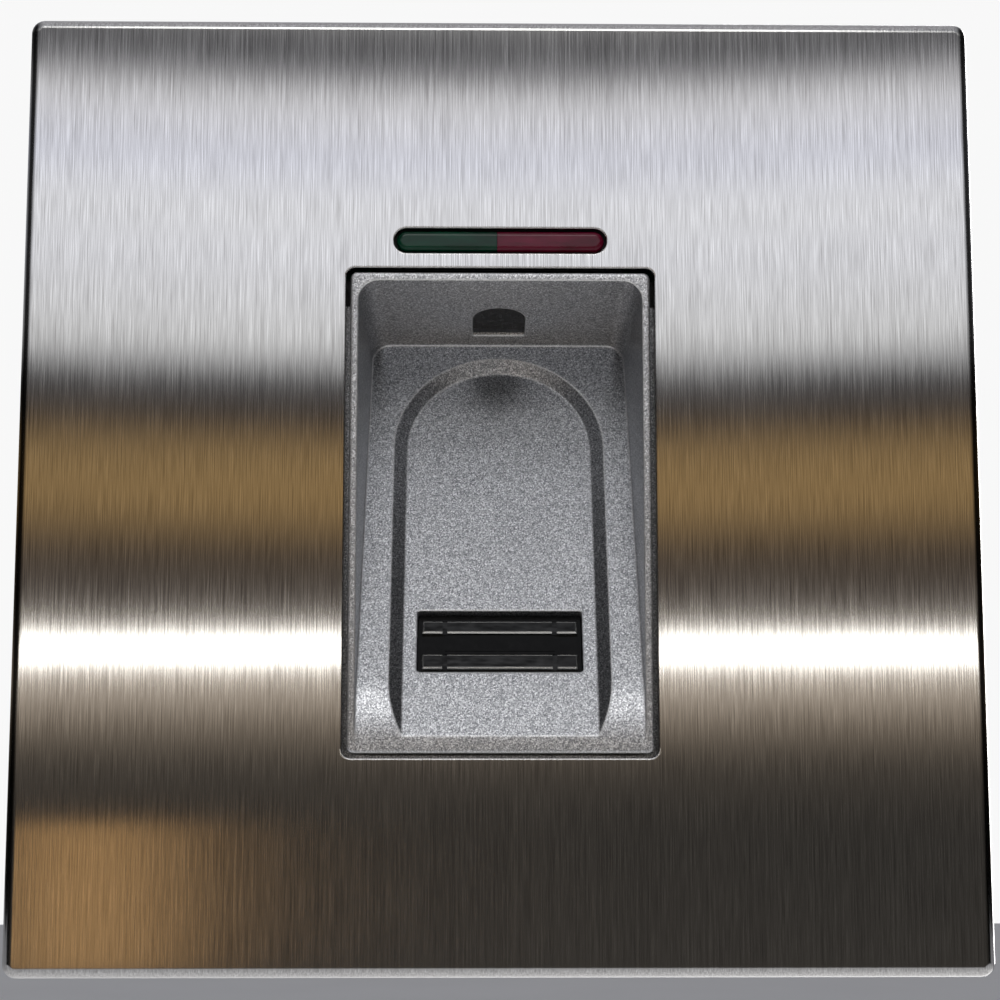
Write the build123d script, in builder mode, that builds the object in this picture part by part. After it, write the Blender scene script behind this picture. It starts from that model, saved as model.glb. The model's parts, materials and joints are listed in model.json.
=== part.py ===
from build123d import *
import os
from math import cos, radians, sin, tan

os.makedirs("parts", exist_ok=True)

# Flush-mounted fingerprint reader for a 60.3 mm pitch wall box.
# Frame: the wall surface is the plane Y = 0, the reader faces -Y, +X is right and +Z is up.
# The origin is the centre of the cover plate, on the wall surface. Units are millimetres.

# ---------------------------------------------------------------------------
# Driving dimensions
# ---------------------------------------------------------------------------

# Cover plate: a folded tray of brushed stainless sheet
plate_width = 86.0
plate_height = 86.0
plate_projection = 9.0
sheet = 0.8
plate_corner_radius = 1.2
plate_bend_radius = 0.9
plate_wall_gap = 0.5
release_notch_width = 8.0
release_notch_depth = 2.0
cut_edge_radius = 0.12

# Plate carrier: plastic moulding bonded inside the tray
carrier_thickness = 1.4
carrier_rim_wall = 1.4
carrier_side_gap = 0.1
carrier_edge_setback = 0.4
carrier_opening_gap = 1.2
stud_radius = 2.0
stud_inset = 4.0
stud_slit = 0.8
stud_tip_chamfer = 0.5
stud_fit = 0.04
stud_wall_clearance = 1.0

# Status light slot
slot_length = 19.2
slot_height = 2.3
slot_z = 22.25
lens_slot_gap = 0.22
lens_split_x = -0.3
lens_dome = 0.45
lens_recess = 0.05
lens_depth = 2.4
lens_flange = 0.6
lens_flange_thickness = 0.8
lens_joint_gap = 0.04
light_chamber_inset = 0.2

# Finger guide
guide_width = 27.0
guide_height = 43.07
guide_z = -2.22
guide_gap = 0.4
guide_corner_radius = 0.6
guide_edge_radius = 0.25
rim_side = 0.72
rim_top = 0.74
lip = 1.43
ramp_angle = 22.5
top_wall_draft = 10.9
side_wall_draft = 2.3
mouth_corner_radius = 1.8
crest_radius = 16.0
track_depth = 0.8
track_side_margin = 4.85
track_bank_width = 1.25
track_length = 38.0
track_edge_radius = 0.25
track_draft_reach = 1.6
guide_floor = 1.6
guide_wall = 1.3
guide_skirt_extra = 3.0
guide_flange_width = 5.0
guide_flange_thickness = 1.8
guide_flange_top_gap = 2.3
guide_seal_thickness = 0.3

# Dark window in the guide's top wall
window_width = 4.95
window_start_depth = 6.1
window_end_depth = 12.5
window_recess = 0.35
window_fit = 0.05
window_flange = 0.9
window_flange_thickness = 0.5

# Fingerprint swipe sensor
sensor_side_margin = 6.05
sensor_height = 6.11
sensor_corner_radius = 0.3
sensor_start = 6.24
sensor_fit = 0.1
sensor_face_recess = 0.95
sensor_flange = 1.2
sensor_flange_thickness = 1.1
sensor_gasket_thickness = 0.3
bar_end_margin = 0.45
bar_height = 0.5
bar_bevel = 0.22
bar_notch_inset = 2.05
bar_notch_width = 0.45
bar_notch_depth = 0.3
upper_bar_start = 10.31
upper_bar_width = 1.24
lower_bar_start = 6.78
lower_bar_width = 1.46
strip_start = 8.34
strip_width = 1.87
strip_height = 0.25
strip_line_start = 8.62
strip_line_width = 0.12
strip_line_height = 0.06
holder_side_gap = 0.3
holder_margin = 2.6
holder_thickness = 1.8
holder_window_margin = 2.0
sensor_boss_radius = 1.6
sensor_boss_gap = 0.2
sensor_hole_floor = 0.5
flex_width = 8.0
flex_thickness = 0.2
flex_bend_radius = 2.0
flex_drop = 4.0
flex_height = 0.9
flex_insertion = 1.5
flex_slot_gap = 0.02
flex_plug_z = -12.0

# Wall box fixing
box_screw_pitch = 60.3
box_slot_length = 6.0
box_slot_width = 3.9

# Support frame
frame_margin = 5.0
frame_corner_radius = 3.0
frame_opening_gap = 0.3
frame_notch_half_width = 5.5
frame_notch_top_gap = 0.4
socket_wall = 1.4
socket_height = 2.6
wall_seal_inset = 1.6
seal_inner_radius = 0.3
wall_seal_width = 2.0
wall_seal_depth = 1.0

# Rear case
guide_to_case = 1.9
case_wall = 1.6
case_corner_radius = 2.4
case_bottom_gap = 0.7
case_top_above_slot = 5.15
case_ear_reach = 2.8
case_ear_radius = 3.0
case_ear_thickness = 2.2
case_ear_inset = 4.2
case_seal_depth = 0.6
case_seal_width = 0.8

# Circuit boards
board_gap = 0.4
component_gap = 5.0
main_board_thickness = 1.6
board_post_radius = 2.0
board_post_inset = 2.5
board_corner_radius = 1.0
board_screw_bite = 4.5
light_board_thickness = 1.0
light_board_half_width = 20.0
light_board_above_slot = 6.75
light_board_below_slot = 2.35
light_board_corner_radius = 0.8
light_screw_inset = 2.0
side_board_thickness = 1.0
side_board_half_width = 4.5
side_board_gap = 1.4
light_pin_count = 4
light_pin_pitch = 2.0
light_pin_width = 0.5
light_pin_inset = 1.0
light_pin_back_tail = 0.8
light_pin_front_tail = 0.6

# Moulded packages with gull-wing leads: width, height, thickness, leads a side, lead pitch
chip_stand = 0.1
lead_reach = 1.0
lead_thickness = 0.2
lead_share = 0.45
processor_size = (10.0, 10.0, 1.2, 16, 0.56)
small_chip_size = (3.9, 4.9, 1.4, 4, 1.27)
processor_place = (0, 12.0)
memory_edge_gap = 4.4
memory_z = 3.4
back_chip_edge_gap = 5.5
back_chip_z = 6.0

# Other parts soldered on the boards
crystal_edge_gap = 4.4
crystal_z = 12.0
crystal_size = (3.2, 5.0, 1.0)
crystal_corner_radius = 0.6
inductor_place = (0, 6.0)
inductor_size = 6.0
inductor_height = 3.0
inductor_corner = 1.0
capacitor_edge_gap = 7.6
capacitor_z = -3.0
capacitor_pitch = 7.0
capacitor_base = 6.4
capacitor_base_height = 0.6
capacitor_radius = 3.1
capacitor_can_height = 4.8
capacitor_edge_radius = 0.4
buzzer_edge_gap = 6.0
buzzer_z = -3.0
buzzer_size = 9.0
buzzer_height = 3.0
buzzer_hole_radius = 1.0
buzzer_hole_depth = 1.0
flex_connector_wall = 1.2
flex_connector_length = 4.0
flex_connector_height = 2.0
light_spacing = 4.4
light_width = 2.6
light_height = 1.6
light_thickness = 1.1
tamper_place = (16.8, 0.1)
tamper_size = (3.6, 2.7, 1.1)
guide_led_size = (3.2, 2.8, 1.0)

# Lens holder
holder_end_wall = 1.4
light_holder_half_height = 2.5
light_holder_plate_gap = 0.4
light_chamber_half_height = 1.5
light_septum = 0.8
peg_radius = 0.7
peg_fit = 0.05
peg_x = 9.0
peg_drop = 1.6
peg_frame_bite = 1.5
light_holder_corner_radius = 0.6

# Screws: pan heads with a cross recess
head_clearance = 0.5
screw_head_height = 1.2
screw_head_radius = 1.9
screw_radius = 1.1
screw_fit = 0.04
small_screw_head_height = 1.0
small_screw_head_radius = 1.5
small_screw_radius = 0.8
recess_width = 0.45
recess_depth = 0.5

# Pluggable terminal block
pole_count = 4
pole_pitch = 3.5
header_z = -15.0
header_depth = 9.2
header_height = 7.25
header_end_wall = 0.95
header_wall = 0.9
header_base = 1.5
header_protrusion = 0.3
header_window_gap = 0.35
header_fit = 0.1
pin_width = 0.8
pin_tail = 0.6
pin_reach = 6.2
plug_gap = 0.3
plug_body_depth = 9.9
plug_height = 9.2
plug_screw_side = 5.6
plug_side_trim = 0.55
plug_edge_radius = 0.4
contact_nose_setback = 0.8
contact_end_setback = 0.4
tunnel_width = 2.2
tunnel_clearance = 0.15
contact_thickness = 0.4
contact_width = 1.4
contact_pin_gap = 0.05
pocket_width = 2.9
pocket_depth = 4.0
pocket_front_gap = 2.6
cage_side_gap = 0.15
cage_end_gap = 0.3
cage_wall = 0.35
cage_thread_wall = 0.9
cage_far_wall = 0.6
cage_opening = 2.8
terminal_head_sink = 0.6
terminal_head_height = 1.2
terminal_head_radius = 1.3
terminal_head_gap = 0.15
terminal_shoulder = 0.4
terminal_screw_radius = 0.85
terminal_screw_fit = 0.05
terminal_slot_width = 0.4
terminal_slot_depth = 0.5
wire_entry_chamfer = 0.25

# Service switch
switch_x = -15.5
switch_rise = 0.3
switch_size = 4.5
switch_height = 1.4
button_radius = 1.0
button_height = 0.6
button_sink = 0.5
button_travel = 0.25
button_fit = 0.05
button_edge_radius = 0.15

# ---------------------------------------------------------------------------
# Places worked out from the driving dimensions
# ---------------------------------------------------------------------------

front = -plate_projection
edge_back = -plate_wall_gap
plate_back = front + sheet
carrier_back = plate_back + carrier_thickness
flange_front = carrier_back + head_clearance + screw_head_height
flange_back = flange_front + guide_flange_thickness
frame_front = flange_back + guide_seal_thickness

guide_top = guide_z + guide_height / 2
guide_bottom = guide_z - guide_height / 2
mouth_top = guide_top - rim_top
mouth_half_width = guide_width / 2 - rim_side
crease_z = guide_bottom + lip
track_half_width = guide_width / 2 - track_side_margin
sensor_width = guide_width - 2 * sensor_side_margin
bar_half_length = sensor_width / 2 - bar_end_margin
bar_notch_x = bar_half_length - bar_notch_inset
ramp_slope = tan(radians(ramp_angle))
ramp_cos = cos(radians(ramp_angle))
ramp_sin = sin(radians(ramp_angle))
top_slope = tan(radians(top_wall_draft))
side_slope = tan(radians(side_wall_draft))
shelf_offset = track_depth / ramp_cos
recess_depth_max = ((mouth_top - crease_z) * ramp_slope - shelf_offset) / (1 + top_slope * ramp_slope)
guide_back = front + recess_depth_max + guide_floor

main_board_front = guide_back + component_gap
main_board_back = main_board_front + main_board_thickness
header_front = main_board_back + header_depth
case_back = header_front - header_protrusion
case_inner_width = guide_width + 2 * guide_to_case
case_inner_bottom = guide_bottom - case_bottom_gap
case_inner_top = slot_z + case_top_above_slot
case_inner_height = case_inner_top - case_inner_bottom
case_z = (case_inner_top + case_inner_bottom) / 2
case_width = case_inner_width + 2 * case_wall
case_height = case_inner_height + 2 * case_wall
case_inner_back = case_back - case_wall
board_width = case_inner_width - 2 * board_gap
board_height = case_inner_height - 2 * board_gap
memory_place = (board_width / 2 - memory_edge_gap, memory_z)
transceiver_place = (back_chip_edge_gap - board_width / 2, back_chip_z)
regulator_place = (board_width / 2 - back_chip_edge_gap, back_chip_z)
crystal_place = (crystal_edge_gap - board_width / 2, crystal_z)
capacitor_place = (board_width / 2 - capacitor_edge_gap, capacitor_z)
buzzer_place = (buzzer_edge_gap - board_width / 2, buzzer_z)

frame_width = plate_width - 2 * frame_margin
frame_height = plate_height - 2 * frame_margin
stud_x = frame_width / 2 - stud_inset
stud_z = frame_height / 2 - stud_inset

light_board_front = frame_front - light_board_thickness
light_board_bottom = slot_z - light_board_below_slot
light_board_top = slot_z + light_board_above_slot
light_holder_front = plate_back + light_holder_plate_gap
lens_half_length = slot_length / 2 - lens_slot_gap
lens_half_height = slot_height / 2 - lens_slot_gap
lens_front = front + lens_recess
lens_back = lens_front + lens_depth
light_holder_half_width = lens_half_length + lens_flange + holder_end_wall

tongue_plane = Plane(
    origin=(0, front, crease_z), x_dir=(1, 0, 0), z_dir=(0, -ramp_cos, ramp_sin)
)

ramp_rise = Axis((0, 0, 0), (0, -ramp_cos, ramp_sin))

guide_screw_x = guide_width / 2 + guide_flange_width / 2
guide_flange_bottom = guide_bottom - guide_flange_width
guide_flange_top = guide_top - guide_flange_top_gap
guide_screw_points = [
    (side * guide_screw_x, level)
    for side in (-1, 1)
    for level in (guide_bottom - guide_flange_width / 2, guide_flange_top - guide_flange_width / 2)
]
case_screw_x = case_width / 2 + case_ear_reach
case_screw_points = [
    (side * case_screw_x, level)
    for side in (-1, 1)
    for level in (case_z - case_height / 2 + case_ear_inset, case_z + case_height / 2 - case_ear_inset)
]
board_post_points = [
    (side * (board_width / 2 - board_post_inset), case_z + rise * (board_height / 2 - board_post_inset))
    for side in (-1, 1)
    for rise in (-1, 1)
]
light_screw_points = [
    (
        side * (light_board_half_width - small_screw_head_radius - board_gap),
        light_board_top - light_screw_inset,
    )
    for side in (-1, 1)
]
stud_points = [(side * stud_x, rise * stud_z) for side in (-1, 1) for rise in (-1, 1)]
peg_points = [(side * peg_x, slot_z + peg_drop) for side in (-1, 1)]

# ---------------------------------------------------------------------------
# Helpers
# ---------------------------------------------------------------------------


def facing(y):
    """Plane parallel to the wall at Y = y: local x is +X, local y is +Z, normal towards the user."""
    return Plane.XZ.offset(-y)


def ramp_layer(height):
    """Plane parallel to the finger track, raised towards the user by height."""
    return tongue_plane.offset(height)


def block(x_range, y_range, z_range, mode=Mode.ADD):
    """Box between two corners, given as low and high values on each axis."""
    centre = (sum(x_range) / 2, sum(y_range) / 2, sum(z_range) / 2)
    with Locations(centre):
        Box(x_range[1] - x_range[0], y_range[1] - y_range[0], z_range[1] - z_range[0], mode=mode)


def mouth_half_width_at(depth):
    """Half width of the guide's recess at a depth below the rim."""
    return mouth_half_width - depth * side_slope


def mouth_top_at(depth):
    """Height of the recess's top wall at a depth below the rim."""
    return mouth_top - depth * top_slope


def recess_section(depth):
    """Section of the recess at a depth: square below, with rounded upper corners."""
    half = mouth_half_width_at(depth)
    top = mouth_top_at(depth)
    base = guide_bottom - guide_height
    with BuildSketch(facing(front + depth)) as section:
        with Locations((0, (top + base) / 2)):
            Rectangle(2 * half, top - base)
        fillet(section.vertices().group_by(Axis.Y)[-1], mouth_corner_radius)
    return section.sketch


def track_outline(height):
    """Finger track outline at a height over its floor: parallel sides and a round end."""
    half = track_half_width + track_bank_width * height / track_depth
    centre = track_length - track_half_width
    with BuildSketch(ramp_layer(height)) as outline:
        with BuildLine():
            Line((-half, -lip), (-half, centre))
            ThreePointArc((-half, centre), (0, centre + half), (half, centre))
            Line((half, centre), (half, -lip))
            Line((half, -lip), (-half, -lip))
        make_face()
    return outline.sketch


def pan_screws(points, seat, length, head_radius, head_height, radius, towards_user):
    """Pan-head screws at wall-parallel points, heads on the seat, shanks away from the head side."""
    out = -1 if towards_user else 1
    head_end = seat + out * head_height
    with BuildSketch(facing(seat)) as heads:
        with Locations(*points):
            Circle(head_radius)
    extrude(heads.sketch, amount=-out * head_height)
    with BuildSketch(facing(seat)) as shanks:
        with Locations(*points):
            Circle(radius)
    extrude(shanks.sketch, amount=out * length)
    with BuildSketch(facing(head_end)) as recesses:
        with Locations(*points):
            Rectangle(head_radius, recess_width)
            Rectangle(recess_width, head_radius)
    extrude(recesses.sketch, amount=out * recess_depth, mode=Mode.SUBTRACT)


# ---------------------------------------------------------------------------
# Cover: brushed plate and the carrier bonded inside it
# ---------------------------------------------------------------------------

with BuildPart() as cover_plate:
    with BuildSketch(facing(edge_back)):
        RectangleRounded(plate_width, plate_height, plate_corner_radius)
    extrude(amount=edge_back - front)
    fillet(cover_plate.faces().sort_by(Axis.Y)[0].edges(), plate_bend_radius)
    with BuildSketch(facing(edge_back)):
        RectangleRounded(plate_width - 2 * sheet, plate_height - 2 * sheet, plate_corner_radius - sheet)
    extrude(amount=edge_back - plate_back, mode=Mode.SUBTRACT)
    with BuildSketch(facing(plate_back)):
        with Locations((0, guide_z)):
            RectangleRounded(
                guide_width + 2 * guide_gap,
                guide_height + 2 * guide_gap,
                guide_corner_radius + guide_gap / 2,
            )
        with Locations((0, slot_z)):
            SlotOverall(slot_length, slot_height)
    extrude(amount=sheet, mode=Mode.SUBTRACT)
    front_face = cover_plate.faces().filter_by(Plane.XZ).sort_by(Axis.Y)[0]
    fillet(front_face.inner_wires().edges(), cut_edge_radius)
    block(
        (-release_notch_width / 2, release_notch_width / 2),
        (edge_back - release_notch_depth, edge_back),
        (-plate_height / 2, -plate_height / 2 + 2 * sheet),
        mode=Mode.SUBTRACT,
    )
cover_plate.part.label = "cover_plate"
export_step(cover_plate.part, "parts/cover_plate.step")

carrier_width = plate_width - 2 * (sheet + carrier_side_gap)
carrier_height = plate_height - 2 * (sheet + carrier_side_gap)
carrier_edge = edge_back - carrier_edge_setback

with BuildPart() as plate_carrier:
    with BuildSketch(facing(carrier_edge)):
        RectangleRounded(carrier_width, carrier_height, plate_corner_radius - sheet)
    extrude(amount=carrier_edge - plate_back)
    with BuildSketch(facing(carrier_edge)):
        Rectangle(carrier_width - 2 * carrier_rim_wall, carrier_height - 2 * carrier_rim_wall)
    extrude(amount=carrier_edge - carrier_back, mode=Mode.SUBTRACT)
    with BuildSketch(facing(carrier_back)):
        with Locations(*stud_points):
            Circle(stud_radius)
    extrude(amount=carrier_back + stud_wall_clearance)
    stud_rims = plate_carrier.edges(Select.LAST).filter_by(GeomType.CIRCLE)
    chamfer(stud_rims.group_by(Axis.Y)[-1], stud_tip_chamfer)
    with Locations(*[(x, (carrier_back - stud_wall_clearance) / 2, z) for x, z in stud_points]):
        Box(stud_slit, -carrier_back - stud_wall_clearance, 3 * stud_radius, mode=Mode.SUBTRACT)
    with BuildSketch(facing(carrier_back)):
        with Locations((0, guide_z)):
            Rectangle(guide_width + 2 * carrier_opening_gap, guide_height + 2 * carrier_opening_gap)
        with Locations((0, slot_z)):
            Rectangle(
                2 * (light_holder_half_width + carrier_opening_gap),
                2 * (light_holder_half_height + carrier_opening_gap),
            )
    extrude(amount=carrier_thickness, mode=Mode.SUBTRACT)
plate_carrier.part.label = "plate_carrier"
export_step(plate_carrier.part, "parts/plate_carrier.step")

# ---------------------------------------------------------------------------
# Support frame on the wall box, with its two seals
# ---------------------------------------------------------------------------

opening_half_width = guide_width / 2 + frame_opening_gap
opening_bottom = guide_bottom - frame_opening_gap
opening_top = guide_top + frame_opening_gap
notch_top = case_inner_top - frame_notch_top_gap
socket_front = frame_front - socket_height
case_seal_width_outer = case_width - 2 * (case_wall - case_seal_width) / 2
case_seal_height_outer = case_height - 2 * (case_wall - case_seal_width) / 2
wall_seal_width_outer = frame_width - 2 * wall_seal_inset
wall_seal_height_outer = frame_height - 2 * wall_seal_inset


def ring_sketch(width, height, band, radius):
    """Rounded rectangular ring of the given band width, as a sketch inside the current one."""
    RectangleRounded(width, height, radius)
    inner_radius = max(radius - band, seal_inner_radius)
    RectangleRounded(width - 2 * band, height - 2 * band, inner_radius, mode=Mode.SUBTRACT)


with BuildPart() as wall_seal:
    with BuildSketch(facing(0)):
        ring_sketch(wall_seal_width_outer, wall_seal_height_outer, wall_seal_width, frame_corner_radius)
    extrude(amount=wall_seal_depth)
wall_seal.part.label = "wall_seal"
export_step(wall_seal.part, "parts/wall_seal.step")

with BuildPart() as case_seal:
    with BuildSketch(facing(0)):
        with Locations((0, case_z)):
            ring_sketch(case_seal_width_outer, case_seal_height_outer, case_seal_width, case_corner_radius)
    extrude(amount=case_seal_depth)
case_seal.part.label = "case_seal"
export_step(case_seal.part, "parts/case_seal.step")

with BuildPart() as support_frame:
    with BuildSketch(facing(0)):
        RectangleRounded(frame_width, frame_height, frame_corner_radius)
    extrude(amount=-frame_front)
    with BuildSketch(facing(frame_front)):
        with Locations(*stud_points):
            Circle(stud_radius + stud_fit + socket_wall)
    extrude(amount=socket_height)
    with BuildSketch(facing(0)):
        with Locations(*stud_points):
            Circle(stud_radius + stud_fit)
    extrude(amount=-socket_front, mode=Mode.SUBTRACT)
    block(
        (-opening_half_width, opening_half_width), (frame_front, 0), (opening_bottom, opening_top),
        mode=Mode.SUBTRACT,
    )
    block(
        (-frame_notch_half_width, frame_notch_half_width), (frame_front, 0), (guide_z, notch_top),
        mode=Mode.SUBTRACT,
    )
    with BuildSketch(facing(0)):
        with GridLocations(box_screw_pitch, 1, 2, 1):
            SlotOverall(box_slot_length, box_slot_width)
        with Locations(*guide_screw_points):
            Circle(screw_radius + screw_fit)
        with Locations(*case_screw_points):
            Circle(screw_radius + screw_fit)
        with Locations(*light_screw_points):
            Circle(small_screw_radius + screw_fit)
        with Locations(*peg_points):
            Circle(peg_radius + peg_fit)
    extrude(amount=-frame_front, mode=Mode.SUBTRACT)
    add(wall_seal.part, mode=Mode.SUBTRACT)
    add(case_seal.part, mode=Mode.SUBTRACT)
support_frame.part.label = "support_frame"
export_step(support_frame.part, "parts/support_frame.step")

# ---------------------------------------------------------------------------
# Finger guide: recess, ramp and finger track
# ---------------------------------------------------------------------------

tool_depth = recess_depth_max + guide_floor

with BuildPart() as recess_tool:
    loft([recess_section(0), recess_section(tool_depth)], ruled=True)
    with BuildSketch(Plane.YZ):
        with BuildLine():
            shelf_meets_front = crease_z + shelf_offset / ramp_slope
            FilletPolyline(
                (front, guide_bottom - guide_height),
                (front, shelf_meets_front),
                (front + tool_depth, shelf_meets_front + tool_depth / ramp_slope),
                radius=crest_radius,
            )
            Polyline(
                (front + tool_depth, shelf_meets_front + tool_depth / ramp_slope),
                (front - 1, shelf_meets_front + tool_depth / ramp_slope),
                (front - 1, guide_bottom - guide_height),
                (front, guide_bottom - guide_height),
            )
        make_face()
    extrude(amount=guide_width, both=True, mode=Mode.INTERSECT)

with BuildPart() as track_tool:
    loft([track_outline(0), track_outline(track_depth * track_draft_reach)], ruled=True)
    fillet(track_tool.faces().sort_by(ramp_rise)[0].edges(), track_edge_radius)

with BuildPart() as window_tool:
    window_radius = window_width / 2
    with BuildSketch(Plane.XY.offset(guide_top)):
        with BuildLine():
            arc_centre = front + window_start_depth + window_radius
            Line((-window_radius, front + window_end_depth), (-window_radius, arc_centre))
            ThreePointArc(
                (-window_radius, arc_centre), (0, front + window_start_depth), (window_radius, arc_centre)
            )
            Line((window_radius, arc_centre), (window_radius, front + window_end_depth))
            Line((window_radius, front + window_end_depth), (-window_radius, front + window_end_depth))
        make_face()
    extrude(amount=-(guide_top - mouth_top_at(tool_depth)))

with BuildPart() as sensor_tool:
    with BuildSketch(ramp_layer(-guide_floor - sensor_gasket_thickness)):
        with Locations((0, sensor_start + sensor_height / 2)):
            RectangleRounded(sensor_width, sensor_height, sensor_corner_radius)
    extrude(amount=guide_floor + sensor_gasket_thickness + track_depth)

hollow_half_width = guide_width / 2 - guide_wall
hollow_bottom = guide_bottom + guide_wall
sensor_screw_x = hollow_half_width - sensor_boss_radius - sensor_boss_gap
sensor_middle = sensor_start + sensor_height / 2
gasket_back = -guide_floor - sensor_gasket_thickness
sensor_back = gasket_back - sensor_flange_thickness
holder_back = sensor_back - holder_thickness
sensor_screw_points = [(side * sensor_screw_x, sensor_middle) for side in (-1, 1)]


def underside_y(z, extra):
    """Depth of the floor's underside at height z, plus an extra depth."""
    return front + (z - crease_z) * ramp_slope + guide_floor / ramp_cos + extra


def underside_z(y, extra):
    """Height at which the floor's underside, plus an extra depth, reaches depth y."""
    return crease_z + (y - front - guide_floor / ramp_cos - extra) / ramp_slope


def side_cut(points, half_width):
    """Removes the prism whose outline, as (Y, Z) points, runs across the guide."""
    with BuildSketch(Plane.YZ) as outline:
        with BuildLine():
            Polyline(*points, close=True)
        make_face()
    extrude(outline.sketch, amount=half_width, both=True, mode=Mode.SUBTRACT)


behind = guide_back + 1
below = guide_flange_bottom - 1

with BuildPart() as finger_guide:
    with BuildSketch(facing(guide_back)):
        with Locations((0, guide_z)):
            RectangleRounded(guide_width, guide_height, guide_corner_radius)
    extrude(amount=guide_back - front)
    fillet(finger_guide.faces().sort_by(Axis.Y)[0].edges(), guide_edge_radius)
    with BuildSketch(facing(flange_back)):
        with Locations((0, (guide_flange_top + guide_flange_bottom) / 2)):
            RectangleRounded(
                guide_width + 2 * guide_flange_width,
                guide_flange_top - guide_flange_bottom,
                frame_corner_radius,
            )
    extrude(amount=guide_flange_thickness)
    # Hollow behind the floor, then the side walls cut back along the ramp
    side_cut(
        [
            (underside_y(hollow_bottom, 0), hollow_bottom),
            (behind, underside_z(behind, 0)),
            (behind, hollow_bottom),
        ],
        hollow_half_width,
    )
    side_cut(
        [
            (flange_back, below),
            (flange_back, underside_z(flange_back, guide_skirt_extra)),
            (behind, underside_z(behind, guide_skirt_extra)),
            (behind, below),
        ],
        guide_width,
    )
    with BuildSketch(ramp_layer(sensor_back)):
        with Locations(*sensor_screw_points):
            Circle(sensor_boss_radius)
    extrude(amount=-sensor_back - guide_floor / 2)
    with BuildSketch(ramp_layer(sensor_back)):
        with Locations(*sensor_screw_points):
            Circle(small_screw_radius + screw_fit)
    extrude(amount=-sensor_back - sensor_hole_floor, mode=Mode.SUBTRACT)
    add(recess_tool.part, mode=Mode.SUBTRACT)
    add(track_tool.part, mode=Mode.SUBTRACT)
    add(window_tool.part, mode=Mode.SUBTRACT)
    add(sensor_tool.part, mode=Mode.SUBTRACT)
    with BuildSketch(facing(flange_back)):
        with Locations(*guide_screw_points):
            Circle(screw_radius + screw_fit)
    extrude(amount=guide_flange_thickness, mode=Mode.SUBTRACT)
finger_guide.part.label = "finger_guide"
export_step(finger_guide.part, "parts/finger_guide.step")

with BuildPart() as guide_seal:
    with BuildSketch(facing(frame_front)):
        with Locations((0, (guide_flange_top + guide_flange_bottom) / 2)):
            RectangleRounded(
                guide_width + 2 * guide_flange_width,
                guide_flange_top - guide_flange_bottom,
                frame_corner_radius,
            )
        Rectangle(2 * opening_half_width, 4 * guide_height, mode=Mode.SUBTRACT)
        with Locations((0, guide_bottom - (guide_flange_width + frame_opening_gap) / 2)):
            Rectangle(2 * opening_half_width, guide_flange_width - frame_opening_gap)
        with Locations(*guide_screw_points):
            Circle(screw_radius + screw_fit, mode=Mode.SUBTRACT)
    extrude(amount=guide_seal_thickness)
guide_seal.part.label = "guide_seal"
export_step(guide_seal.part, "parts/guide_seal.step")

with BuildPart() as guide_screws:
    pan_screws(
        guide_screw_points, flange_front, -flange_front - case_seal_depth - board_gap,
        screw_head_radius, screw_head_height, screw_radius, True,
    )
guide_screws.part.label = "guide_screws"
export_step(guide_screws.part, "parts/guide_screws.step")

with BuildPart() as guide_window:
    with BuildSketch(Plane.XY.offset(guide_top + window_flange_thickness)):
        with Locations((0, front + (window_start_depth + window_end_depth) / 2)):
            Rectangle(
                window_width + 2 * window_flange, window_end_depth - window_start_depth + 2 * window_flange
            )
    extrude(amount=-window_flange_thickness)
    with BuildSketch(Plane.XY.offset(guide_top)):
        with BuildLine():
            plug_radius = window_width / 2 - window_fit
            plug_end = front + window_end_depth - window_fit
            Line((-plug_radius, plug_end), (-plug_radius, arc_centre))
            ThreePointArc(
                (-plug_radius, arc_centre), (0, arc_centre - plug_radius), (plug_radius, arc_centre)
            )
            Line((plug_radius, arc_centre), (plug_radius, plug_end))
            Line((plug_radius, plug_end), (-plug_radius, plug_end))
        make_face()
    extrude(amount=-(guide_top - mouth_top_at(tool_depth)))
    # The plug stops short of the recess's top wall
    wall_line_front = mouth_top + window_recess
    wall_line_back = mouth_top_at(tool_depth) + window_recess
    side_cut(
        [
            (front, wall_line_front),
            (front + tool_depth, wall_line_back),
            (front + tool_depth, guide_z),
            (front, guide_z),
        ],
        guide_width,
    )
guide_window.part.label = "guide_window"
export_step(guide_window.part, "parts/guide_window.step")

# ---------------------------------------------------------------------------
# Swipe sensor behind the finger track
# ---------------------------------------------------------------------------


def ramp_block(half_width, along, heights, mode=Mode.ADD):
    """Box lying on the ramp: half width across, range along the track, range of height over it."""
    with BuildSketch(ramp_layer(heights[0])) as base:
        with Locations((0, sum(along) / 2)):
            Rectangle(2 * half_width, along[1] - along[0])
    extrude(base.sketch, amount=heights[1] - heights[0], mode=mode)


sensor_body_half = sensor_width / 2 - sensor_fit
sensor_body_start = sensor_start + sensor_fit
sensor_body_end = sensor_start + sensor_height - sensor_fit
sensor_face = -sensor_face_recess
sensor_flange_start = sensor_start - sensor_flange
sensor_flange_end = sensor_start + sensor_height + sensor_flange
sensor_flange_half = sensor_width / 2 + sensor_flange

with BuildPart() as sensor_package:
    ramp_block(sensor_flange_half, (sensor_flange_start, sensor_flange_end), (sensor_back, gasket_back))
    ramp_block(sensor_body_half, (sensor_body_start, sensor_body_end), (gasket_back, sensor_face))
sensor_package.part.label = "sensor_package"
export_step(sensor_package.part, "parts/sensor_package.step")

with BuildPart() as sensor_gasket:
    ramp_block(sensor_flange_half, (sensor_flange_start, sensor_flange_end), (gasket_back, -guide_floor))
    ramp_block(
        sensor_width / 2, (sensor_start, sensor_start + sensor_height), (gasket_back, -guide_floor),
        mode=Mode.SUBTRACT,
    )
sensor_gasket.part.label = "sensor_gasket"
export_step(sensor_gasket.part, "parts/sensor_gasket.step")

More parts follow.
